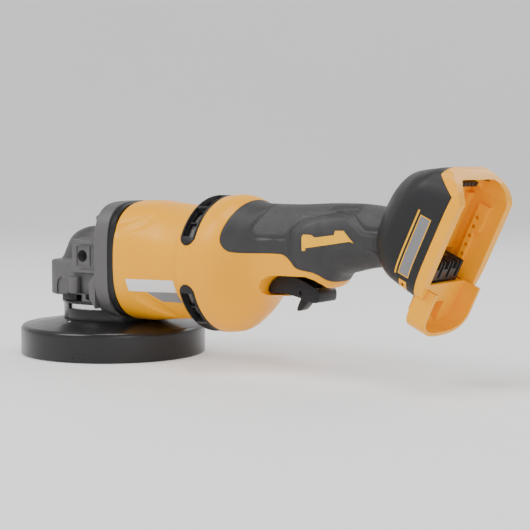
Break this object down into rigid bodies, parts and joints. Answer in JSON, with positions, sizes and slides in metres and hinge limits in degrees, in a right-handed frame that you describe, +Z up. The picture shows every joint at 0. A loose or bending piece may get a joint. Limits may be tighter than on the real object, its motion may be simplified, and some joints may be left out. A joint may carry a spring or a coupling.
{
  "type": "angle grinder",
  "caption": "Cordless angle grinder with a wheel guard, bevel gear head, vented motor housing, rubber grip with a paddle switch, and an open battery foot.",
  "frame": {"origin": "centre of the spindle's end face", "axes": "+Z up along the spindle away from the wheel, +X from the gear head towards the battery foot, -Y the side with the guard release lever"},
  "size_m": [0.3833, 0.1358, 0.1419],
  "materials": {
    "yellow_plastic": "moulded, satin",
    "grip_rubber": "matt, finely textured",
    "black_plastic": "moulded, satin",
    "guard_paint": "semi-gloss powder coat",
    "cast_case": "die-cast and painted grey, matt",
    "machined_aluminium": "machined",
    "steel": "ground",
    "blackened_steel": "blackened",
    "copper_winding": "varnished windings",
    "brass_contact": "plated",
    "badge_grey": "satin",
    "board_green": "potted"
  },
  "bodies": {
    "housing": {"gear_case": "cast_case", "spindle_retainer": "machined_aluminium", "case_gasket": "black_plastic", "lower_spindle_bearing": "steel", "upper_spindle_bearing": "steel", "spindle_lock_spring": "steel", "motor_housing": "yellow_plastic", "stator": "copper_winding", "motor_end_plate": "black_plastic", "front_rotor_bearing": "steel", "rear_rotor_bearing": "steel", "vent_frame_upper": "black_plastic", "vent_frame_lower": "black_plastic", "vent_screen_upper": "blackened_steel", "vent_screen_lower": "blackened_steel", "rear_housing_left": "yellow_plastic", "rear_housing_right": "yellow_plastic", "grip_left": "grip_rubber", "grip_right": "grip_rubber", "paddle_pin": "steel", "paddle_spring": "steel", "switch_body": "black_plastic", "control_module": "board_green", "foot_cover_left": "black_plastic", "foot_cover_right": "black_plastic", "foot_badge_left": "badge_grey", "foot_badge_right": "badge_grey", "tag_tab_left": "yellow_plastic", "tag_tab_right": "yellow_plastic", "battery_receiver": "yellow_plastic", "terminal_block": "black_plastic", "terminal_contacts": "brass_contact", "latch_plate": "black_plastic", "retainer_screw_1": "steel", "case_screw_1": "blackened_steel", "retainer_screw_2": "steel", "case_screw_2": "blackened_steel", "retainer_screw_3": "steel", "case_screw_3": "blackened_steel", "retainer_screw_4": "steel", "case_screw_4": "blackened_steel", "handle_screw_1": "blackened_steel", "handle_screw_2": "blackened_steel", "handle_screw_3": "blackened_steel"},
    "rotor": {"rotor_shaft": "steel", "rotor_core": "blackened_steel", "cooling_fan": "black_plastic", "drive_pinion": "steel"},
    "spindle_group": {"spindle": "steel", "crown_gear": "steel", "inner_flange": "blackened_steel", "lock_nut": "blackened_steel"},
    "guard": {"guard_shell": "guard_paint", "guard_collar": "guard_paint"},
    "guard_release": {"guard_lever": "black_plastic"},
    "spindle_lock": {"spindle_lock_button": "black_plastic", "spindle_lock_pin": "steel"},
    "paddle": {"paddle_lever": "black_plastic", "lock_off_pin": "steel"},
    "lock_off": {"lock_off_lever": "black_plastic"}
  },
  "joints": [
    {"name": "spindle_spin", "type": "hinge", "parent": "housing", "child": "spindle_group", "pos_m": [0, 0, 0.03], "axis": [0, 0, 1], "continuous": true},
    {"name": "rotor_spin", "type": "hinge", "parent": "housing", "child": "rotor", "pos_m": [0.05, 0, 0.069], "axis": [1, 0, 0], "continuous": true},
    {"name": "guard_turn", "type": "hinge", "parent": "housing", "child": "guard", "pos_m": [0, 0, 0.03], "axis": [0, 0, 1], "range_deg": [-110, 110]},
    {"name": "guard_lever_turn", "type": "hinge", "parent": "housing", "child": "guard_release", "pos_m": [-0.01, -0.0315, 0.041], "axis": [0, 0, 1], "range_deg": [0, 15], "stiffness_Nm_per_rad": 0.15, "springref_deg": -17.19},
    {"name": "spindle_lock_press", "type": "slide", "parent": "housing", "child": "spindle_lock", "axis": [0, 0, -1], "range_m": [0, 0.005], "stiffness_N_per_m": 900, "springref_m": -0.004, "deforming": ["spindle_lock_spring"]},
    {"name": "paddle_squeeze", "type": "hinge", "parent": "housing", "child": "paddle", "pos_m": [0.1623, 0, 0.0568], "axis": [0, -1, 0], "range_deg": [0, 8], "stiffness_Nm_per_rad": 2, "springref_deg": -17.19, "deforming": ["paddle_spring"]},
    {"name": "lock_off_swing", "type": "hinge", "parent": "paddle", "child": "lock_off", "pos_m": [0.1807, 0, 0.0525], "axis": [0, -1, 0], "range_deg": [0, 25], "stiffness_Nm_per_rad": 0.05, "springref_deg": -22.92}
  ],
  "couplings": [
    {"joint": "rotor_spin", "follows": "spindle_spin", "ratio": 3.4286}
  ]
}
